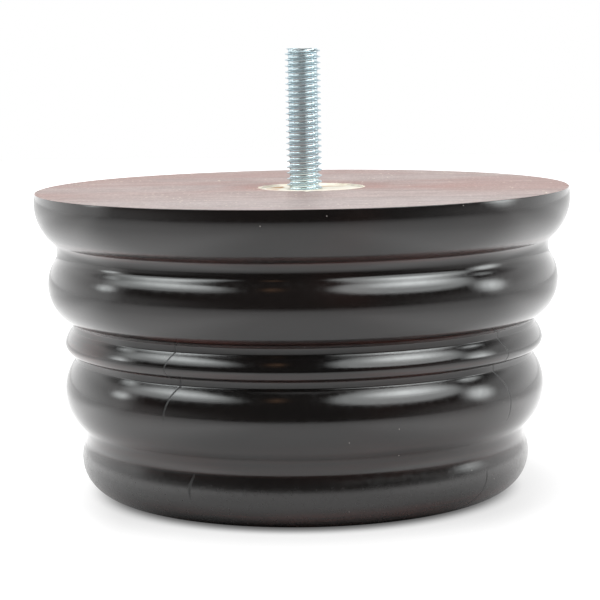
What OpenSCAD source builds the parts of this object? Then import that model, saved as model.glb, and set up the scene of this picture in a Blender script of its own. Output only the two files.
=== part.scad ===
// Turned wooden bun foot with a hanger bolt.
// The foot stands on its base at z = 0, with its lathe axis along +Z.
// The wide face at the top goes against the furniture, and the bolt screws into it.

/* [Top] */
// Diameter of the top face
top_d = 142.9; // [125:0.5:165]
// Radius of the rounded lip below the top face
lip_r = 13.55; // [13:0.05:14.5]
// How far the widest ring of the lip lies below the top face
lip_drop = 2.75; // [1.8:0.05:3.8]
// Angle below level at which the lip ends
lip_end = 48.5; // [46:0.5:54]

/* [Necks and beads, set in from the edge of the top face] */
// First neck, under the lip
neck_1_in = 5.5; // [5.2:0.05:5.7]
// Large upper bead
bead_1_in = 2.9; // [2.5:0.05:3.1]
// Second neck
neck_2_in = 9.05; // [8.4:0.05:9.3]
// Small middle bead
bead_2_in = 7.1; // [6.6:0.05:7.4]
// Large lower bead
bead_3_in = 6.75; // [6.3:0.05:7.2]
// Waist above the base
waist_in = 11.85; // [11.5:0.05:12.2]
// Rounded base
base_in = 10.9; // [10.5:0.05:11.1]

/* [Radii of the turned rounds] */
// Large upper bead
bead_1_r = 11.4; // [10.8:0.05:11.9]
// Hollow that runs into the upper bead
hollow_r = 3.95; // [2.9:0.05:5]
// Small middle bead
bead_2_r = 2.7; // [2.4:0.05:2.9]
// Easier shoulder above the small middle bead
shoulder_r = 10.35; // [8.5:0.05:11.2]
// Large lower bead
bead_3_r = 13.1; // [12.4:0.05:14]
// Cove at the waist
cove_r = 5.85; // [4.6:0.05:6.7]
// Rounded base
base_r = 9.8; // [9:0.05:11]

/* [Flats between the rounds] */
// Height of the first neck's flat
flat_1 = 0.25; // [0.1:0.05:1.6]
// Height of the second neck's flat
flat_2 = 1.7; // [0.9:0.05:3.3]
// Height of the third neck's flat
flat_3 = 1.7; // [0.9:0.05:3.3]

/* [Hanger bolt] */
// Thread diameter of the 3/8-16 machine end
stud_d = 9.52; // [8:0.01:12]
// Length that stands above the top face
stud_out = 37.6; // [25:0.1:50]
// Full length of the bolt, the screw end in the wood included
bolt_len = 76.2; // [65:0.1:90]
// Core diameter of the wood-screw end, which the pilot hole fits
screw_d = 7.6; // [5.5:0.1:8]
// How far the pilot hole stands off the lathe axis
stud_off = 1.05; // [0:0.05:1.6]

/* [Spot face and base] */
// Diameter of the shallow spot face round the bolt
spot_d = 28.8; // [20:0.1:33]
// Depth of the spot face
spot_deep = 0.45; // [0.1:0.05:1]
// How far the spot face stands off the lathe axis
spot_off = 2.7; // [0:0.1:4]
// Diameter of the lathe-centre mark in the base
centre_d = 5.6; // [2:0.1:9]

/* [Hidden] */
$fn = 96;
arc_step = 5;        // degrees of arc for each point of a round
shoulder_at = 20;    // degrees above level at which the small bead meets its shoulder
point_len = 8;       // tapered point of the wood-screw end
tip_chamfer = 1.2;   // chamfer on the machine end
centre_slope = 60;   // angle of the lathe-centre mark's cone

// Radii from the lathe axis
top_r = top_d / 2;
neck_1 = top_r - neck_1_in;
neck_2 = top_r - neck_2_in;
neck_3 = top_r - bead_2_in - bead_2_r;
waist = top_r - waist_in;

// Distance from the lathe axis of the centre of each round
base_x = top_r - base_in - base_r;
cove_x = waist + cove_r;
bead_3_x = top_r - bead_3_in - bead_3_r;
bead_2_x = neck_3;
shoulder_x = bead_2_x - (shoulder_r - bead_2_r) * cos(shoulder_at);
bead_1_x = top_r - bead_1_in - bead_1_r;
hollow_x = neck_1 + hollow_r;
lip_x = top_r - sqrt(lip_r ^ 2 - lip_drop ^ 2);

// Angle at which each round starts or ends
cove_low = acos((cove_x - base_x) / (base_r + cove_r));
cove_high = acos((cove_x - bead_3_x) / (bead_3_r + cove_r));
bead_3_top = acos((neck_3 - bead_3_x) / bead_3_r);
shoulder_top = acos((neck_2 - shoulder_x) / shoulder_r);
bead_1_low = acos((neck_2 - bead_1_x) / bead_1_r);
bead_1_top = acos((hollow_x - bead_1_x) / (bead_1_r + hollow_r));

// The throat is the hollow between the lip and the first neck
throat_r = (lip_x + lip_r * cos(lip_end) - neck_1) / (1 - cos(lip_end));

// Height of the centre of each round, from the base up
base_z = base_r;
cove_z = base_z + (base_r + cove_r) * sin(cove_low);
bead_3_z = cove_z + (bead_3_r + cove_r) * sin(cove_high);
bead_2_z = bead_3_z + bead_3_r * sin(bead_3_top) + flat_3 + bead_2_r;
shoulder_z = bead_2_z - (shoulder_r - bead_2_r) * sin(shoulder_at);
bead_1_z = shoulder_z + shoulder_r * sin(shoulder_top) + flat_2 + bead_1_r * sin(bead_1_low);
hollow_z = bead_1_z + (bead_1_r + hollow_r) * sin(bead_1_top);
throat_z = hollow_z + flat_1;
lip_z = throat_z + (throat_r + lip_r) * sin(lip_end);
top_z = lip_z + lip_drop;

// Places of the bolt
tip_z = top_z + stud_out;
point_z = tip_z - bolt_len;
step_z = top_z - spot_deep;

// Points along an arc round [x, z], from angle a to angle b
function arc(x, z, r, a, b) =
    let (n = max(3, ceil(abs(b - a) / arc_step)))
    [for (i = [0:n]) let (t = a + (b - a) * i / n) [x + r * cos(t), z + r * sin(t)]];

// Half section of the turned body, from the base up to the top face
function body_outline() = concat(
    [[0, 0]],
    arc(base_x, base_z, base_r, -90, cove_low),
    arc(cove_x, cove_z, cove_r, 180 + cove_low, 180 - cove_high),
    arc(bead_3_x, bead_3_z, bead_3_r, -cove_high, bead_3_top),
    arc(bead_2_x, bead_2_z, bead_2_r, -90, shoulder_at),
    arc(shoulder_x, shoulder_z, shoulder_r, shoulder_at, shoulder_top),
    arc(bead_1_x, bead_1_z, bead_1_r, -bead_1_low, bead_1_top),
    arc(hollow_x, hollow_z, hollow_r, 180 + bead_1_top, 180),
    arc(neck_1 + throat_r, throat_z, throat_r, 180, 180 - lip_end),
    arc(lip_x, lip_z, lip_r, -lip_end, asin(lip_drop / lip_r)),
    [[0, top_z]]);

// Half section of the bolt: screw point, core, machine thread and chamfered tip
function bolt_outline() = [
    [0, point_z],
    [screw_d / 2, point_z + point_len],
    [screw_d / 2, step_z],
    [stud_d / 2, step_z],
    [stud_d / 2, tip_z - tip_chamfer],
    [stud_d / 2 - tip_chamfer, tip_z],
    [0, tip_z]];

module bolt_solid() {
    translate([stud_off, 0, 0])
        rotate_extrude()
            polygon(bolt_outline());
}

module spot_face() {
    translate([spot_off, 0, top_z - spot_deep])
        cylinder(d = spot_d, h = spot_deep + 1);
}

module centre_mark() {
    translate([0, 0, -0.001])
        cylinder(d1 = centre_d, d2 = 0, h = centre_d / 2 * tan(centre_slope));
}

module foot_body() {
    color([0.16, 0.07, 0.05])
        difference() {
            rotate_extrude()
                polygon(body_outline());
            bolt_solid();
            spot_face();
            centre_mark();
        }
}

module hanger_bolt() {
    color([0.72, 0.76, 0.8])
        bolt_solid();
}

foot_body();
hanger_bolt();
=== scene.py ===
"""Looks of a turned wooden furniture foot and its hanger bolt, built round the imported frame.

Sizes are in millimetres, in the frame's axes, and become metres as each mesh is made.
Places and distances inside the materials are in metres.
"""

import math

import bmesh
import bpy
import numpy as np
from mathutils import Matrix, Vector, noise


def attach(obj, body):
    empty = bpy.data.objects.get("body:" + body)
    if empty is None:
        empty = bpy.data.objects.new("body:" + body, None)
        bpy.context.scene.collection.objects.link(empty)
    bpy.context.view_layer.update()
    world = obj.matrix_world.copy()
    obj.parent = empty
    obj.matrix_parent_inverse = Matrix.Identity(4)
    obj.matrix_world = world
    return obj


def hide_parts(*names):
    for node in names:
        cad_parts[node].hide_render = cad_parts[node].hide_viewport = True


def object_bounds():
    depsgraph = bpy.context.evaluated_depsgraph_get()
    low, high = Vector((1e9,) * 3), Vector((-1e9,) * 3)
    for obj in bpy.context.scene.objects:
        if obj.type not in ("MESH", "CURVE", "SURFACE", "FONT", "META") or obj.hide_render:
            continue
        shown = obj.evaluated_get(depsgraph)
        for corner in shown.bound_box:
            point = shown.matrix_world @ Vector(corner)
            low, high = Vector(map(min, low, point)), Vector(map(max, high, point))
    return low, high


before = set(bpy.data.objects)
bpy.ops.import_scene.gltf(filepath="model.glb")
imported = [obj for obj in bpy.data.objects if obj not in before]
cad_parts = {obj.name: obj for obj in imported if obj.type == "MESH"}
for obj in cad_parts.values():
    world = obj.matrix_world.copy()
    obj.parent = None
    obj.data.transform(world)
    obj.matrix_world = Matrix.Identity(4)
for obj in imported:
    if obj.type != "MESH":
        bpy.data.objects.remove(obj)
cad_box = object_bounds()

MM = 0.001
TINY = 1e-9   # a length that counts as none

# Turned body, as the solid has it
TOP_R = 142.9 / 2
LIP_R, LIP_DROP, LIP_END = 13.55, 2.75, 48.5
NECK_1 = TOP_R - 5.5
NECK_2 = TOP_R - 9.05
WAIST = TOP_R - 11.85
BEAD_1_IN, BEAD_1_R = 2.9, 11.4
BEAD_2_IN, BEAD_2_R = 7.1, 2.7
BEAD_3_IN, BEAD_3_R = 6.75, 13.1
BASE_IN, BASE_R = 10.9, 9.8
HOLLOW_R = 3.95
SHOULDER_R, SHOULDER_AT = 10.35, 20
COVE_R = 5.85
FLAT_1, FLAT_2, FLAT_3 = 0.25, 1.7, 1.7
CENTRE_R, CENTRE_SLOPE = 2.8, 60         # lathe-centre mark in the base
SPOT_R, SPOT_DEEP, SPOT_OFF = 14.4, 0.45, 2.7

# Hanger bolt, as the solid has it, but 0.25 mm nearer the lathe axis
STUD_R, STUD_OFF, STUD_OUT = 4.76, 0.8, 37.6
SCREW_R, BOLT_LEN, POINT_LEN = 3.8, 76.2, 8

# Fine shapes of the bolt that the solid leaves out
TIP_CHAMFER, TIP_SLOPE = 0.5, 0.6        # how much narrower the very tip is, and how fast it widens below
TIP_SHORT = 0.45                         # how much lower the drawn tip is than the solid's
THREAD_PITCH, THREAD_ROOT = 25.4 / 16, 3.83  # 16 threads to the inch
THREAD_START = 0.24                      # turns before +X at which a crest leaves the thread's lower end
THREAD_BENDS = (0, 0.06, 0.105, 0.155, 0.21, 0.29, 0.38, 0.5)  # where its section bends, in pitches
THREAD_RISES = (1, 0.98, 0.80, 0.45, 0.22, 0.09, 0.02, 0)      # its height there, from crest to root
THREAD_SPARE = 2                         # turns past each end, which are cut flat there
SCREW_PITCH, SCREW_CREST = 3.2, 4.7
SHANK_LEN = 6                            # plain shank between the two threads

# Fine shapes of the body that the solid leaves out
RING_WIDE, RING_DEEP = 0.24, 0.035       # turned ring line near the top of the upper bead
RING_BELOW = 2.2                         # degrees of the bead between that line and the hollow
SPOT_LAND = 1.2                          # stained ring round the spot face, up to its torn edge
SPOT_SLOPE = 0.5                         # how far the spot face's wall leans in at its floor
TEAR_WIDE, TEAR_HIGH = 0.5, 0.05         # how far the torn edge wanders out and up
TEAR_SCALE, TEAR_LAYER = 9, 4.0          # how quickly it turns, and the layer of noise it follows
CHIP_WIDE, CHIP_DEEP, CHIP_HALF = 2.2, 0.1, 3.4  # chip in that edge, and its half width in degrees
CHIP_TURN = 0.09                         # radians by which the chip stands left of the front

# Meshes
OUTLINE_STEP, OUTLINE_SOFT = 0.05, 0.12  # resampling of the outline, and how far lacquer rounds it
OUTLINE_END = 2                          # how far the outline runs in over the top face
STAIN_EDGE = 0.05                        # depth below the top face at which its stain begins
RING_TURN, RING_GAP = 3.6, 4             # most degrees and length between the rings of the mesh
TOP_BANDS, FLOOR_BANDS = 11, 6           # bands of the top face and of the spot face's floor
BODY_SIDES = 256
BOLT_SIDES = 96
WELD, SHARP_TURN = 0.001, 46             # joining distance, and the angle past which an edge shades sharp

# Board joint that shows through the lacquer: a plane that stands along this line
GLUE_FROM, GLUE_TO = (-34.3, -54.2), (51.5, -38.1)


# ---------------------------------------------------------------- outlines and meshes


def arc(x, z, radius, start, end, step=1):
    """Points along an arc round (x, z), from one angle to another, in degrees."""
    count = max(3, math.ceil(abs(end - start) / step))
    angles = np.radians(np.linspace(start, end, count + 1))
    return [(x + radius * math.cos(a), z + radius * math.sin(a)) for a in angles]


def degrees_of(ratio):
    """The angle whose cosine is a ratio."""
    return math.degrees(math.acos(ratio))


def sine(angle):
    """The sine of an angle in degrees."""
    return math.sin(math.radians(angle))


def cosine(angle):
    """The cosine of an angle in degrees."""
    return math.cos(math.radians(angle))


def ringed_bead(x, z, low, top):
    """The arc of the upper bead from one angle to another, with the ring line cut in near its top."""
    ring_at = top - RING_BELOW
    ring_half = math.degrees(RING_WIDE / 2 / BEAD_1_R)
    ring_r = BEAD_1_R - RING_DEEP
    ring = [(x + ring_r * cosine(ring_at), z + ring_r * sine(ring_at))]
    below = arc(x, z, BEAD_1_R, low, ring_at - ring_half)
    above = arc(x, z, BEAD_1_R, ring_at + ring_half, top)
    return below + ring + above


def body_outline():
    """Half section of the turned body from the mark in its base to its top edge, and the top's height."""
    neck_3 = TOP_R - BEAD_2_IN - BEAD_2_R
    base_x = TOP_R - BASE_IN - BASE_R
    cove_x = WAIST + COVE_R
    bead_3_x = TOP_R - BEAD_3_IN - BEAD_3_R
    shoulder_x = neck_3 - (SHOULDER_R - BEAD_2_R) * cosine(SHOULDER_AT)
    bead_1_x = TOP_R - BEAD_1_IN - BEAD_1_R
    lip_x = TOP_R - math.sqrt(LIP_R**2 - LIP_DROP**2)

    cove_low = degrees_of((cove_x - base_x) / (BASE_R + COVE_R))
    cove_high = degrees_of((cove_x - bead_3_x) / (BEAD_3_R + COVE_R))
    bead_3_top = degrees_of((neck_3 - bead_3_x) / BEAD_3_R)
    shoulder_top = degrees_of((NECK_2 - shoulder_x) / SHOULDER_R)
    bead_1_low = degrees_of((NECK_2 - bead_1_x) / BEAD_1_R)
    bead_1_top = degrees_of((NECK_1 + HOLLOW_R - bead_1_x) / (BEAD_1_R + HOLLOW_R))
    throat_r = (lip_x + LIP_R * cosine(LIP_END) - NECK_1) / (1 - cosine(LIP_END))

    cove_z = BASE_R + (BASE_R + COVE_R) * sine(cove_low)
    bead_3_z = cove_z + (BEAD_3_R + COVE_R) * sine(cove_high)
    bead_2_z = bead_3_z + BEAD_3_R * sine(bead_3_top) + FLAT_3 + BEAD_2_R
    shoulder_z = bead_2_z - (SHOULDER_R - BEAD_2_R) * sine(SHOULDER_AT)
    bead_1_z = shoulder_z + SHOULDER_R * sine(shoulder_top) + FLAT_2 + BEAD_1_R * sine(bead_1_low)
    hollow_z = bead_1_z + (BEAD_1_R + HOLLOW_R) * sine(bead_1_top)
    throat_z = hollow_z + FLAT_1
    lip_z = throat_z + (throat_r + LIP_R) * sine(LIP_END)
    top_z = lip_z + LIP_DROP

    points = (
        [(0, CENTRE_R * math.tan(math.radians(CENTRE_SLOPE))), (CENTRE_R, 0)]
        + arc(base_x, BASE_R, BASE_R, -90, cove_low)
        + arc(cove_x, cove_z, COVE_R, 180 + cove_low, 180 - cove_high)
        + arc(bead_3_x, bead_3_z, BEAD_3_R, -cove_high, bead_3_top)
        + arc(neck_3, bead_2_z, BEAD_2_R, -90, SHOULDER_AT)
        + arc(shoulder_x, shoulder_z, SHOULDER_R, SHOULDER_AT, shoulder_top)
        + ringed_bead(bead_1_x, bead_1_z, -bead_1_low, bead_1_top)
        + arc(NECK_1 + HOLLOW_R, hollow_z, HOLLOW_R, 180 + bead_1_top, 180)
        + arc(NECK_1 + throat_r, throat_z, throat_r, 180, 180 - LIP_END)
        + arc(lip_x, lip_z, LIP_R, -LIP_END, math.degrees(math.asin(LIP_DROP / LIP_R)))
        + [(TOP_R - OUTLINE_END, top_z)]
    )
    return np.array(points), top_z


def soften(points):
    """The outline at even steps, with its corners rounded as thick lacquer rounds them."""
    run = np.linalg.norm(np.diff(points, axis=0), axis=1)
    points = points[np.r_[True, run > TINY]]
    along = np.r_[0, np.cumsum(np.linalg.norm(np.diff(points, axis=0), axis=1))]
    even = np.linspace(0, along[-1], round(along[-1] / OUTLINE_STEP))
    dense = np.stack([np.interp(even, along, points[:, k]) for k in (0, 1)], 1)
    reach = math.ceil(4 * OUTLINE_SOFT / OUTLINE_STEP)   # past four spreads the weights are nothing
    offsets = np.arange(-reach, reach + 1) * OUTLINE_STEP
    weights = np.exp(-0.5 * (offsets / OUTLINE_SOFT) ** 2)
    padded = np.pad(dense, ((reach, reach), (0, 0)), mode="reflect", reflect_type="odd")
    return np.stack([np.convolve(padded[:, k], weights / weights.sum(), "valid") for k in (0, 1)], 1)


def outline_rings(points):
    """The few points of the outline that the rings of the mesh are turned from."""
    along = np.gradient(points, axis=0)
    heading = np.unwrap(np.arctan2(along[:, 1], along[:, 0]))
    kept = [0]
    for i in range(1, len(points) - 1):
        turned = abs(heading[i] - heading[kept[-1]]) > math.radians(RING_TURN)
        far = np.linalg.norm(points[i] - points[kept[-1]]) > RING_GAP
        if turned or far:
            kept.append(i)
    kept.append(len(points) - 1)
    return points[kept]


def turned_mesh(name, rings, sides):
    """A closed mesh from rings of points, which taper to one point at both ends.

    Each ring is a function from angles to an array of points, and the material of the band above it.
    """
    angles = np.linspace(0, 2 * math.pi, sides, endpoint=False)
    points, starts, faces, materials = [], [], [], []
    for place, _ in rings:
        ring = place(angles)
        pole = np.ptp(ring, axis=0).max() < TINY
        starts.append((len(points), pole))
        points.extend(ring[:1] if pole else ring)
    for (low, low_pole), (high, high_pole), (_, material) in zip(starts, starts[1:], rings):
        for j in range(sides):
            k = (j + 1) % sides
            face = [low + (0 if low_pole else j), low + (0 if low_pole else k),
                    high + (0 if high_pole else k), high + (0 if high_pole else j)]
            faces.append(list(dict.fromkeys(face)))
            materials.append(material)
    mesh = bpy.data.meshes.new(name)
    mesh.from_pydata([tuple(p * MM) for p in np.array(points)], [], faces)
    mesh.polygons.foreach_set("material_index", materials)
    mesh.polygons.foreach_set("use_smooth", [True] * len(faces))
    mesh.validate()
    return mesh


def add_object(name, mesh, *materials):
    """A new object in the scene, with its materials in their slots."""
    for material in materials:
        mesh.materials.append(material)
    thing = bpy.data.objects.new(name, mesh)
    bpy.context.scene.collection.objects.link(thing)
    return thing


# ---------------------------------------------------------------- node helpers


class Graph:
    """A node tree with short calls that add and join its nodes."""

    def __init__(self, tree):
        self.tree = tree
        tree.nodes.clear()

    def add(self, kind, settings=None, **inputs):
        """A new node. Inputs are named by their label in lower case, or in0, in1 by their place."""
        made = self.tree.nodes.new("ShaderNode" + kind)
        for key, value in (settings or {}).items():
            setattr(made, key, value)
        for key, value in inputs.items():
            place = key[2:]
            if key.startswith("in") and place.isdigit():
                socket = made.inputs[int(place)]
            else:
                socket = next(s for s in made.inputs if s.name.lower().replace(" ", "_") == key)
            self.put(value, socket)
        return made

    def put(self, value, socket):
        """Links a node or one of its outputs to a socket, or writes a plain value there."""
        if isinstance(value, bpy.types.Node):
            value = next(s for s in value.outputs if s.enabled)
        if isinstance(value, bpy.types.NodeSocket):
            self.tree.links.new(value, socket)
        else:
            socket.default_value = value

    def place(self):
        """Coordinates on the object, in metres."""
        return self.add("TexCoord").outputs["Object"]

    def distance(self, place, spot):
        return self.add("VectorMath", {"operation": "DISTANCE"}, in0=place, in1=spot).outputs["Value"]

    def length(self, vector):
        return self.add("VectorMath", {"operation": "LENGTH"}, in0=vector).outputs["Value"]

    def maths(self, operation, *values):
        return self.add("Math", {"operation": operation},
                        **{f"in{i}": value for i, value in enumerate(values)})

    def total(self, value, *others):
        for other in others:
            value = self.maths("ADD", value, other)
        return value

    def product(self, value, *others):
        for other in others:
            value = self.maths("MULTIPLY", value, other)
        return value

    def remap(self, value, low, high, to_low=0.0, to_high=1.0):
        """A value moved smoothly from one range to another, and held at its ends."""
        return self.add("MapRange", {"interpolation_type": "SMOOTHSTEP"}, value=value, from_min=low,
                        from_max=high, to_min=to_low, to_max=to_high)

    def noise(self, vector, scale, detail=3.0, roughness=0.5, stretch=(1, 1, 1), turn=0.0):
        """Noise whose grain runs along its own X, turned about Z, where stretch shrinks that axis."""
        placed = self.add("Mapping", vector=vector, rotation=(0, 0, turn), scale=stretch)
        found = self.add("TexNoise", vector=placed, scale=scale, detail=detail, roughness=roughness)
        return found.outputs["Fac"]

    def blend(self, share, first, second):
        """A colour that turns from the first to the second as the share goes from 0 to 1."""
        made = self.tree.nodes.new("ShaderNodeMix")
        made.data_type = "RGBA"
        self.put(share, made.inputs[0])
        self.put(first, made.inputs[6])
        self.put(second, made.inputs[7])
        return made.outputs[2]

    def bump(self, height):
        return self.add("Bump", strength=1.0, distance=1.0, height=height)

    def finish(self, shader):
        """Joins a shader to the material's output."""
        end = self.tree.nodes.new("ShaderNodeOutputMaterial")
        self.tree.links.new(next(s for s in shader.outputs if s.enabled), end.inputs["Surface"])


def new_material(name):
    """A material, and the graph of its nodes."""
    material = bpy.data.materials.new(name)
    material.use_nodes = True
    return material, Graph(material.node_tree)


# ---------------------------------------------------------------- materials

# Colours, as linear values
LACQUER_DARK, LACQUER_PALE = (0.0085, 0.0078, 0.0075, 1), (0.013, 0.0105, 0.0098, 1)
LACQUER_RUBBED, LACQUER_RED = (0.05, 0.02, 0.015, 1), (0.055, 0.018, 0.014, 1)
GLUE_COLOUR, DUST_COLOUR = (0.002, 0.002, 0.002, 1), (0.5, 0.47, 0.44, 1)
STAIN_DARK, STAIN_PALE = (0.28, 0.16, 0.14, 1), (0.56, 0.43, 0.40, 1)
STAIN_RED, STAIN_GREY = (0.38, 0.13, 0.09, 1), (0.50, 0.46, 0.45, 1)
PORE_COLOUR, FLECK_COLOUR = (0.20, 0.13, 0.12, 1), (0.90, 0.84, 0.80, 1)
NICK_COLOUR, BROWN_PATCH_COLOUR = (0.95, 0.86, 0.70, 1), (0.56, 0.30, 0.11, 1)
CREAM_DEEP, CREAM_PALE = (1.0, 0.91, 0.73, 1), (1.0, 0.98, 0.90, 1)
ZINC_DIM, ZINC_BRIGHT, ZINC_EDGE = (0.77, 0.92, 0.98, 1), (0.87, 0.98, 1.0, 1), (0.35, 0.39, 0.42, 1)
TABLE_SHADED, TABLE_PAINT, TABLE_SEEN = (0.01, 0.01, 0.01, 1), (0.85, 0.85, 0.85, 1), (0.35, 0.35, 0.35, 1)
WHITE = (1, 1, 1, 1)

# How far each kind of relief stands up
PEEL_RISE, WAVE_RISE, DUST_RISE = 0.000004, 0.00001, 0.000003
TURNING_RISE, GLUE_SINK = 0.000012, 0.00002
FIBRE_RISE, CREAM_RISE = 0.00009, 0.0001

# Painted reflection and light: red painted into each groove and round the base's lower edge, where the
# lacquer mirrors the neighbouring wood and the groove gets less light: height and half height in mm, and
# strength
GROOVE_REDS = ((68.4, 1.7, 1.0), (47.8, 1.6, 1.0), (39.3, 1.6, 1.0), (18, 6, 0.35), (0, 7, 0.8))
WORN_AT, WORN_REACH = (-0.056, -0.026, 0.040), (0.004, 0.02)   # rubbed shoulder of the lower bead
WORN_UP = (0.036, 0.0385)                  # heights over which that rubbing begins
GLUE_WANDER, GLUE_HALF = 0.0004, (0.00005, 0.0003)   # how far the joint strays, and its core and edge
GLUE_TOP = (0.044, 0.05)                   # heights over which the joint fades out
BASE_DULL = (0.011, 0.017)                 # heights over which the dull base turns glossy
SPECK_SIZE = (0.012, 0.03)                 # core and edge of a dust speck, in cells of its pattern

SPOT_MID = (0.0027, 0, 0.0808)             # middle of the spot face
SPOT_HALO = (0.016, 0.03)                  # red ring round the spot face, from its middle
HALO_FRONT = (-0.016, -0.004)              # depths over which that ring begins
RED_FRONT, RED_REACH = (-0.035, -0.012), (0.025, 0.06)   # where the boards' red grows, and where it fades
GREY_FRONT = (-0.03, -0.05)                # depths over which the stain turns grey
BROWN_SPOT_SQUEEZE = (1, 0.3, 1)               # makes the brown spot longer in depth than it is wide
BROWN_SPOT_AT, BROWN_SPOT_REACH = (-0.0075, 0.0014, 0.0808), (0.0018, 0.0038)   # in squeezed coordinates
BROWN_PATCH_EDGE = (0.0125, 0.0138)              # distances from the middle over which the brown patches end
# The grain runs along the board joint
GRAIN_TURN = -math.atan2(GLUE_TO[1] - GLUE_FROM[1], GLUE_TO[0] - GLUE_FROM[0])


def wood_grain(g, place, scale, detail, roughness, squeeze):
    """Noise drawn out along the boards: the smaller the squeeze, the longer its streaks."""
    return g.noise(place, scale, detail, roughness, (squeeze, 1, 1), GRAIN_TURN)


def glue_line(g, place, height):
    """Mask of the board joint: a fine, broken line in the lower part of the body."""
    run = np.subtract(GLUE_TO, GLUE_FROM)
    across = np.array((-run[1], run[0])) / np.linalg.norm(run)
    start = float(across @ GLUE_FROM) * MM
    dot = g.add("VectorMath", {"operation": "DOT_PRODUCT"}, in0=place, in1=(*across, 0))
    straight = g.maths("SUBTRACT", dot.outputs["Value"], start)
    bent = g.add("MapRange", value=g.noise(place, 35, 2), to_min=-GLUE_WANDER, to_max=GLUE_WANDER)
    line = g.remap(g.maths("ABSOLUTE", g.total(straight, bent)), *GLUE_HALF, 1, 0)
    broken = g.remap(g.noise(place, 70, 2), 0.42, 0.55)
    return g.product(line, broken, g.remap(height, *GLUE_TOP, 1, 0))


def groove_reflection_and_wear(g, place, height, patches):
    """Mask of the red: painted reflection and light in each groove and round the base, and wood that shows
    through on the rubbed shoulder.
    """
    reds = [0.0]
    for z, half, share in GROOVE_REDS:
        off = g.maths("ABSOLUTE", g.maths("SUBTRACT", height, z * MM))
        reds.append(g.remap(off, half * 0.5 * MM, half * MM, share, 0))
    near = g.remap(g.distance(place, WORN_AT), *WORN_REACH, 1, 0)
    reds.append(g.product(near, g.remap(patches, 0.3, 0.5), g.remap(height, *WORN_UP)))
    return g.total(*reds)


def lacquer_relief(g, place, peel, glue):
    """Fine unevenness of the lacquer: orange peel, waves, dust and turning lines, sunk along the joint."""
    waves = g.noise(place, 45, 2, 0.4)
    dusty = g.noise(place, 2600, 1, 0.5)
    turning = g.noise(place, 900, 3, 0.6, (0.02, 0.02, 1))
    swell = g.total(g.product(peel, PEEL_RISE), g.product(waves, WAVE_RISE), g.product(dusty, DUST_RISE),
                    g.product(turning, TURNING_RISE))
    return g.bump(g.maths("SUBTRACT", swell, g.product(glue, GLUE_SINK)))


def lacquered_wood():
    """Dark brown stain under a thick gloss lacquer, painted redder in the grooves as a reflection, and
    crossed by the board joint.
    """
    material, g = new_material("lacquered_wood")
    place = g.place()
    height = g.add("SeparateXYZ", vector=place).outputs["Z"]
    grain = wood_grain(g, place, 60, 4, 0.6, 0.12)
    patches = g.noise(place, 22, 2, 0.5)
    dark = g.blend(g.remap(grain, 0.3, 0.7), LACQUER_DARK, LACQUER_PALE)
    rubbed = g.blend(g.product(g.remap(patches, 0.55, 0.75), 0.2), dark, LACQUER_RUBBED)
    lines = g.noise(place, 1500, 2, 0.6, (0.02, 0.02, 1))
    streaked = g.product(g.remap(grain, 0.3, 0.6, 0.3, 1), g.remap(lines, 0.35, 0.6))
    # Painted reflection: the red in the grooves stands in for mirrored wood and lost light; on the shoulder
    # it is wear.
    warm = g.blend(g.product(groove_reflection_and_wear(g, place, height, patches), streaked), rubbed, LACQUER_RED)
    glue = glue_line(g, place, height)
    colour = g.blend(g.product(glue, 0.5), warm, GLUE_COLOUR)
    specks = g.add("TexVoronoi", vector=place, scale=170).outputs["Distance"]
    colour = g.blend(g.remap(specks, *SPECK_SIZE, 1, 0), colour, DUST_COLOUR)

    peel = g.noise(place, 700, 2, 0.4)
    dull = g.total(g.product(glue, 0.4), g.remap(height, *BASE_DULL, 0.12, 0))
    rough = g.total(g.remap(peel, 0.3, 0.7, 0.1, 0.16), dull)
    relief = lacquer_relief(g, place, peel, glue)
    g.finish(g.add("BsdfPrincipled", base_color=colour, roughness=rough, ior=1.8, normal=relief))
    return material


def stained_top():
    """The top face: matt reddish-brown stain in open grain, greyer at its front, with cream nicks."""
    material, g = new_material("stained_top")
    place = g.place()
    depth = g.add("SeparateXYZ", vector=place).outputs["Y"]
    away = g.distance(place, SPOT_MID)
    streaks = wood_grain(g, place, 330, 5, 0.7, 0.07)
    mottle = wood_grain(g, place, 170, 5, 0.75, 0.5)
    grain = g.total(g.product(streaks, 0.6), g.product(mottle, 0.4))
    stain = g.blend(g.remap(grain, 0.38, 0.62), STAIN_DARK, STAIN_PALE)

    boards = g.remap(wood_grain(g, place, 34, 3, 0.6, 0.3), 0.40, 0.6)
    middle = g.product(g.remap(depth, *RED_FRONT, 0.15, 1), g.remap(away, *RED_REACH, 1, 0.55))
    halo = g.product(g.remap(away, *SPOT_HALO, 1, 0), g.remap(depth, *HALO_FRONT), g.remap(mottle, 0.3, 0.5))
    colour = g.blend(g.maths("MAXIMUM", g.product(boards, middle), halo), stain, STAIN_RED)
    colour = g.blend(g.remap(depth, *GREY_FRONT, 0, 0.35), colour, STAIN_GREY)

    pores = g.noise(place, 1500, 2, 0.6, (1, 0.4, 1))
    colour = g.blend(g.remap(pores, 0.35, 0.6, 0.2, 0), colour, PORE_COLOUR)
    colour = g.blend(g.remap(pores, 0.5, 0.75, 0, 0.22), colour, FLECK_COLOUR)
    nicks = g.remap(g.noise(place, 750, 1, 0.5, (1, 0.6, 1)), 0.69, 0.74)
    patchy = g.remap(g.noise(place, 45, 2), 0.45, 0.6)
    colour = g.blend(g.product(nicks, patchy), colour, NICK_COLOUR)

    relief = g.bump(g.product(wood_grain(g, place, 700, 4, 0.75, 0.14), FIBRE_RISE))
    rough = g.remap(streaks, 0.3, 0.7, 0.42, 0.5)
    g.finish(g.add("BsdfPrincipled", base_color=colour, roughness=rough, ior=1.5, normal=relief,
                   sheen_weight=0.35, sheen_roughness=0.4))
    return material


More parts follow.
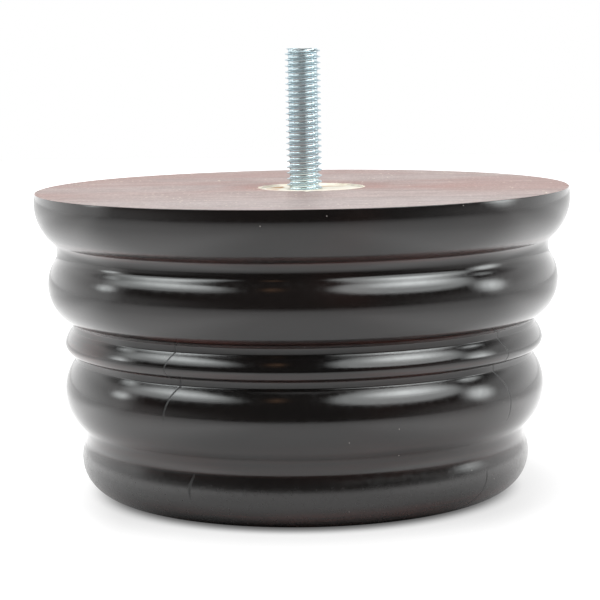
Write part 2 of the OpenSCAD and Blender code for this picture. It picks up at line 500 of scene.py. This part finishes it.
def bare_wood():
    """Cream wood where the spot face was cut through the stain, with brown patches beside the bolt."""
    material, g = new_material("bare_wood")
    place = g.place()
    grain = wood_grain(g, place, 300, 4, 0.6, 0.08)
    cream = g.blend(grain, CREAM_DEEP, CREAM_PALE)
    brown_patches = wood_grain(g, place, 150, 3, 0.6, 0.35)
    squeezed = g.add("Mapping", vector=place, scale=BROWN_SPOT_SQUEEZE)
    brown_patches = g.total(brown_patches, g.remap(g.distance(squeezed, BROWN_SPOT_AT), *BROWN_SPOT_REACH, 0.25, 0))
    brown_patches = g.product(brown_patches, g.remap(g.distance(place, SPOT_MID), *BROWN_PATCH_EDGE, 1, 0))
    colour = g.blend(g.remap(brown_patches, 0.56, 0.7), cream, BROWN_PATCH_COLOUR)
    relief = g.bump(g.product(grain, CREAM_RISE))
    g.finish(g.add("BsdfPrincipled", base_color=colour, roughness=0.5, normal=relief))
    return material


def zinc_steel():
    """Bright zinc plate, faintly blue."""
    material, g = new_material("zinc_steel")
    place = g.place()
    colour = g.blend(g.noise(place, 300, 3, 0.6), ZINC_DIM, ZINC_BRIGHT)
    rough = g.remap(g.noise(place, 900, 2), 0.3, 0.7, 0.13, 0.18)
    g.finish(g.add("BsdfPrincipled", base_color=colour, metallic=0.8, roughness=rough,
                   specular_tint=ZINC_EDGE))
    return material


def table_seen(g, across, away):
    """Light that lifts the seen table to white outside the object's shadow."""
    return g.total(
        g.remap(away, 0.0505, 0.060, 0.1, 0.6),
        g.remap(away, 0.06, 0.08, 0, 0.14),
        g.remap(away, 0.09, 0.2, 0, 0.3),
        g.remap(across, -0.045, -0.07, 0, 0.32),
        g.remap(across, 0.045, 0.07, 0, 0.12),
    )


def table_mirrored(g, across, depth, away):
    """How bright the table is in reflections: behind the object, far behind it, and close beside it."""
    aside = g.maths("ABSOLUTE", across)
    return g.total(
        g.product(g.remap(depth, -0.05, 0.05), g.remap(away, 0.1, 0.35, 0.8, 0.35)),
        g.remap(depth, 0.08, 0.45, 0, 0.5),
        g.product(g.remap(aside, 0.03, 0.09, 0, 0.35), g.remap(away, 0.09, 0.25, 1, 0)),
    )


def white_table():
    """White table, dim towards its front, that keeps the object's shadow and turns white away from it."""
    material, g = new_material("white_table")
    path = g.add("LightPath")
    place = g.place()
    parts = g.add("SeparateXYZ", vector=place)
    across, depth = parts.outputs["X"], parts.outputs["Y"]
    away = g.length(place)
    lit = g.product(g.remap(depth, TABLE_DIM * MM, TABLE_LIT * MM), g.remap(away, 0.15, 0.75, 1, 0.6),
                    g.remap(away, 0.05, 0.068, 0.15, 1))
    paint = g.blend(lit, TABLE_SHADED, TABLE_PAINT)
    surface = g.add("BsdfDiffuse", color=g.blend(path.outputs["Is Camera Ray"], paint, TABLE_SEEN))
    seen = g.product(path.outputs["Is Camera Ray"], table_seen(g, across, away))
    mirrored = g.product(path.outputs["Is Glossy Ray"], table_mirrored(g, across, depth, away))
    glow = g.add("Emission", color=WHITE, strength=g.total(seen, mirrored))
    g.finish(g.add("AddShader", in0=surface, in1=glow))
    return material


# ---------------------------------------------------------------- the turned body

LACQUER, STAIN, BARE = range(3)   # material slots of the body


def circle(radius, z, centre=0.0, ripple=None, share=1.0):
    """A ring of the body: a level circle about (centre, 0), whose radius and height a ripple may move."""

    def place(angles):
        r, h = np.full(len(angles), float(radius)), np.full(len(angles), float(z))
        if ripple is not None:
            dr, dz = ripple(angles)
            r, h = r + dr * share, h + dz * share
        return np.stack([centre + r * np.cos(angles), r * np.sin(angles), h], 1)

    return place


def torn_edge(angles):
    """How the cut edge of the spot face wanders, and the chip in it at the front."""
    around = [(math.cos(a) * TEAR_SCALE, math.sin(a) * TEAR_SCALE, TEAR_LAYER) for a in angles]
    wander = np.array([noise.noise(point) for point in around])
    off = np.degrees(np.angle(np.exp(1j * (angles + math.pi / 2 + CHIP_TURN))))
    chip = np.clip(1 - np.abs(off) / CHIP_HALF, 0, 1)
    return TEAR_WIDE * wander + CHIP_WIDE * chip, TEAR_HIGH * wander - CHIP_DEEP * chip


def spot_face_rings(top_z):
    """Rings of the spot face, from the stained land round it, over its raised torn edge, to the bolt."""
    floor_z = top_z - SPOT_DEEP
    floor_r = SPOT_R - SPOT_SLOPE
    # Radius, height, share of the tear and material of each ring of the edge
    edge = (
        (SPOT_R + SPOT_LAND, top_z, 0.0, STAIN),
        (SPOT_R - 0.05, top_z + 0.03, 1.0, BARE),
        (SPOT_R - 0.25, top_z + 0.1, 1.0, BARE),
        (SPOT_R - 0.4, top_z + 0.04, 1.0, BARE),
        (SPOT_R - 0.45, floor_z + 0.1, 0.7, BARE),
        (floor_r, floor_z, 0.5, BARE),
    )
    rings = [(circle(r, z, SPOT_OFF, torn_edge, share), material) for r, z, share, material in edge]
    for t in np.linspace(0, 1, FLOOR_BANDS + 1)[1:]:
        r = floor_r + (SCREW_R - floor_r) * t
        rings.append((circle(r, floor_z, SPOT_OFF + (STUD_OFF - SPOT_OFF) * t), BARE))
    return rings


def make_body():
    """One closed mesh of the turned wood, and the height of its top face."""
    points, top_z = body_outline()
    points[:, 0] *= cad_box[1].x / MM / points[:, 0].max()   # exactly as wide as the frame's body
    outline = outline_rings(soften(points))
    rings = [(circle(r, z), STAIN if z > top_z - STAIN_EDGE else LACQUER) for r, z in outline]
    rim = outline[-1][0]
    for t in np.linspace(0, 1, TOP_BANDS + 1)[1:-1]:
        rings.append((circle(rim + (SPOT_R + SPOT_LAND - rim) * t, top_z, SPOT_OFF * t), STAIN))
    rings += spot_face_rings(top_z)
    point_z = top_z + STUD_OUT - BOLT_LEN
    rings.append((circle(SCREW_R, point_z + POINT_LEN, STUD_OFF), BARE))
    rings.append((circle(0, point_z, STUD_OFF), BARE))
    mesh = turned_mesh("turned_body", rings, BODY_SIDES)
    body = add_object("turned_body", mesh, lacquered_wood(), stained_top(), bare_wood())
    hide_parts("foot_body")
    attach(body, "root")
    return top_z


# ---------------------------------------------------------------- the hanger bolt

# Shares of the pitch at which a thread has rows, from one root to the next
THREAD_SHARES = [-bend for bend in THREAD_BENDS[:0:-1]] + list(THREAD_BENDS[:-1])


def thread_rows(angles, low, high, pitch, root, crest, limit):
    """Rows of heights and radii that climb with a right-hand thread, cut flat at both ends."""
    rows = []
    climb = THREAD_START + angles / (2 * math.pi)
    for turn in range(-THREAD_SPARE, math.ceil((high - low) / pitch) + THREAD_SPARE):
        for share in THREAD_SHARES:
            z = np.clip(low + pitch * (turn + share + climb), low, high)
            turns = (z - low) / pitch - climb
            rise = np.interp(np.abs(turns - np.round(turns)), THREAD_BENDS, THREAD_RISES)
            rows.append((z, np.minimum(root + (crest - root) * rise, limit(z))))
    return rows


def bolt_rows(angles, top_z):
    """Rows of the whole bolt: wood screw below the spot face, machine thread above it."""
    point_z = top_z + STUD_OUT - BOLT_LEN
    tip_z = top_z + STUD_OUT - TIP_SHORT
    step_z = top_z - SPOT_DEEP
    shank_z = step_z - SHANK_LEN

    def stud_limit(z):
        return np.minimum(STUD_R - TIP_CHAMFER + TIP_SLOPE * (tip_z - z), STUD_R)

    def screw_limit(z):
        at_point = SCREW_CREST * (z - point_z) / POINT_LEN
        at_shank = SCREW_R + np.maximum(0, shank_z - z)
        return np.minimum(at_point, at_shank)

    rows = thread_rows(angles, point_z, shank_z, SCREW_PITCH, SCREW_R, SCREW_CREST, screw_limit)
    rows.append((step_z, SCREW_R))
    rows += thread_rows(angles, step_z, tip_z, THREAD_PITCH, THREAD_ROOT, STUD_R, stud_limit)
    rows.append((tip_z, 0))
    return rows


def welded_mesh(name, rows, angles, centre):
    """A closed mesh from rows of heights and radii about (centre, 0), welded where they meet."""
    points, faces = [], []
    wide = len(angles)
    for i, (z, r) in enumerate(rows):
        around = np.broadcast_arrays(centre + r * np.cos(angles), r * np.sin(angles), z)
        points.extend(tuple(p * MM) for p in np.stack(around, 1))
        if i:
            faces.extend((k - wide, k - wide + 1, k + 1, k) for k in range(i * wide, i * wide + wide - 1))
    mesh = bpy.data.meshes.new(name)
    mesh.from_pydata(points, [], faces)
    welded = bmesh.new()
    welded.from_mesh(mesh)
    bmesh.ops.remove_doubles(welded, verts=welded.verts, dist=WELD * MM)
    bmesh.ops.dissolve_degenerate(welded, edges=welded.edges, dist=WELD * MM)
    welded.to_mesh(mesh)
    welded.free()
    mesh.polygons.foreach_set("use_smooth", [True] * len(mesh.polygons))
    mesh.set_sharp_from_angle(angle=math.radians(SHARP_TURN))
    return mesh


def make_bolt(top_z):
    """The hanger bolt, with the threads of both its ends."""
    angles = np.linspace(0, 2 * math.pi, BOLT_SIDES + 1)
    mesh = welded_mesh("threaded_bolt", bolt_rows(angles, top_z), angles, STUD_OFF)
    bolt = add_object("threaded_bolt", mesh, zinc_steel())
    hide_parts("hanger_bolt")
    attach(bolt, "root")


# ---------------------------------------------------------------- camera, table and lights

CAMERA = (0, -559.4, 122.3)
CAMERA_YAW, CAMERA_PITCH, CAMERA_ROLL = -0.09, 7.311, -0.883
CAMERA_LENS, CAMERA_SENSOR = 124.85, 36
CAMERA_NEAR, CAMERA_FAR = 10, 20000
TABLE_FRONT, TABLE_BACK, TABLE_HALF = -900, 1500, 1100
TABLE_DROP = 0.2                    # gap below the base, so that the two faces don't flicker
TABLE_DIM, TABLE_LIT = -1000, 150   # where the table's front fades out, and where it is fully lit
LIGHT_FAR, LIGHT_AIM = 1100, 45     # distance of every light, and the height it faces
FILL = 0.35                         # strength of the world's even light on surfaces


def make_camera():
    """The camera in front of the object, looking along Y apart from a small yaw, pitch and roll."""
    yaw, pitch, roll = (math.radians(a) for a in (CAMERA_YAW, CAMERA_PITCH, CAMERA_ROLL))
    ahead = np.array((math.sin(yaw) * math.cos(pitch), math.cos(yaw) * math.cos(pitch), -math.sin(pitch)))
    level = np.array((math.cos(yaw), -math.sin(yaw), 0))
    upright = np.cross(level, ahead)
    right = level * math.cos(roll) + upright * math.sin(roll)
    up = -level * math.sin(roll) + upright * math.cos(roll)
    data = bpy.data.cameras.new("camera")
    data.lens, data.sensor_width = CAMERA_LENS, CAMERA_SENSOR
    data.clip_start, data.clip_end = CAMERA_NEAR * MM, CAMERA_FAR * MM
    camera = bpy.data.objects.new("camera", data)
    turned = Matrix(np.stack([right, up, -ahead], 1).tolist()).to_4x4()
    camera.matrix_world = Matrix.Translation([c * MM for c in CAMERA]) @ turned
    bpy.context.scene.collection.objects.link(camera)
    bpy.context.scene.camera = camera


def panel(name, wide, high):
    """A flat panel in its own XY plane, with its face along -Z."""
    mesh = bpy.data.meshes.new(name)
    x, y = wide / 2 * MM, high / 2 * MM
    mesh.from_pydata([(-x, -y, 0), (x, -y, 0), (x, y, 0), (-x, y, 0)], [], [(0, 1, 2, 3)])
    return mesh


def make_table():
    """The table under the object, deeper behind it than in front."""
    deep = TABLE_BACK - TABLE_FRONT
    table = add_object("table", panel("table", 2 * TABLE_HALF, deep), white_table())
    for corner in table.data.vertices:
        corner.co.y += (TABLE_FRONT + TABLE_BACK) / 2 * MM
    table.location.z = -TABLE_DROP * MM


def aim(thing, azimuth, elevation, roll=0.0):
    """Stands a light off to the right of the camera by an azimuth, and up, facing the object."""
    a, e = math.radians(azimuth), math.radians(elevation)
    back = Vector((math.sin(a) * math.cos(e), -math.cos(a) * math.cos(e), math.sin(e)))
    facing = (-back).to_track_quat("-Z", "Y").to_matrix() @ Matrix.Rotation(math.radians(roll), 3, "Z")
    spot = Vector((0, 0, LIGHT_AIM)) + back * LIGHT_FAR
    thing.matrix_world = Matrix.Translation(spot * MM) @ facing.to_4x4()


def softbox(name, azimuth, elevation, half_wide, half_high, strength, roll=0.0, even=0.0,
            colour=(0.96, 1, 1)):
    """A glowing oval that only reflections show.

    Its half sizes are angles, and it fades out past the even share of its middle.
    """
    wide, high = (LIGHT_FAR * math.tan(math.radians(half)) for half in (half_wide, half_high))
    material, g = new_material(name)
    shrunk = g.add("Mapping", vector=g.place(), scale=(1 / (wide * MM), 1 / (high * MM), 1))
    glow = g.add("Emission", color=(*colour, 1), strength=g.remap(g.length(shrunk), even, 1, strength, 0))
    g.finish(g.add("AddShader", in0=glow, in1=g.add("BsdfTransparent")))
    box = add_object(name, panel(name, 2 * wide, 2 * high), material)
    aim(box, azimuth, elevation, roll)
    box.visible_camera = box.visible_diffuse = box.visible_shadow = False
    box.visible_transmission = box.visible_volume_scatter = False


def lamp(name, azimuth, elevation, size, watts):
    """A soft lamp that lights surfaces but isn't mirrored in them."""
    data = bpy.data.lights.new(name, "AREA")
    data.shape, data.size, data.energy = "DISK", size * MM, watts
    light = bpy.data.objects.new(name, data)
    bpy.context.scene.collection.objects.link(light)
    aim(light, azimuth, elevation)
    light.visible_glossy = False


def make_world():
    """White to the camera and an even fill on surfaces.

    Reflections see a bright wall behind the object, a bright ceiling and a dark front.
    """
    world = bpy.data.worlds.new("studio")
    world.use_nodes = True
    bpy.context.scene.world = world
    g = Graph(world.node_tree)
    path = g.add("LightPath")
    parts = g.add("SeparateXYZ", vector=g.add("TexCoord").outputs["Generated"])
    back, up = parts.outputs["Y"], parts.outputs["Z"]
    wall = g.total(g.remap(back, -0.12, 0.12, 0, 0.6), g.remap(back, 0.12, 0.95, 0, 0.72))
    low = g.remap(up, 0.35, 0.55, 1, 0)
    side = g.product(g.remap(back, -1, -0.1, 0, 0.3), g.remap(up, 0.05, 0.3, 1, 0))
    ceiling = g.remap(up, 0.84, 0.94, 0, 1.1)
    room = g.total(g.product(wall, low), side, ceiling)
    fill = g.product(path.outputs["Is Diffuse Ray"], FILL)
    mirrored = g.product(path.outputs["Is Glossy Ray"], room)
    seen = g.total(path.outputs["Is Camera Ray"], fill, mirrored)
    sky = g.add("Background", color=WHITE, strength=seen)
    end = g.tree.nodes.new("ShaderNodeOutputWorld")
    g.tree.links.new(sky.outputs[0], end.inputs["Surface"])


def make_lights():
    """Softboxes for the reflections: azimuth, elevation, half sizes, strength, roll and even share."""
    softbox("softbox_left", -71, 36, 35, 13, 1.8, 12, 0.5)
    softbox("middle_left", -69, 39, 25, 9, 3.7, 11)
    softbox("softbox_right", 52, 38.5, 34, 20, 2.2, -9, 0.65)
    softbox("middle_right", 57, 41.5, 24, 11, 5.2, -14)
    softbox("small_left", -97, 15.5, 9, 8, 3.8)
    softbox("small_right", 90, 15, 13, 15, 4.6)
    softbox("far_left", -107, 33, 8, 6, 3.2)
    softbox("far_right", 103, 38, 10, 8, 5)
    softbox("warm_left", -15, 41, 5.5, 7, 0.5, colour=(1, 0.55, 0.3))
    # Lamps for the light on surfaces: azimuth, elevation, size and power
    lamp("lamp_left", -60, 45, 700, 5)
    lamp("lamp_right", 50, 45, 700, 5)
    lamp("lamp_top", 0, 85, 900, 3.3)


top_z = make_body()
make_bolt(top_z)
make_camera()
make_table()
make_lights()
make_world()
bpy.context.scene.view_settings.view_transform = "Standard"
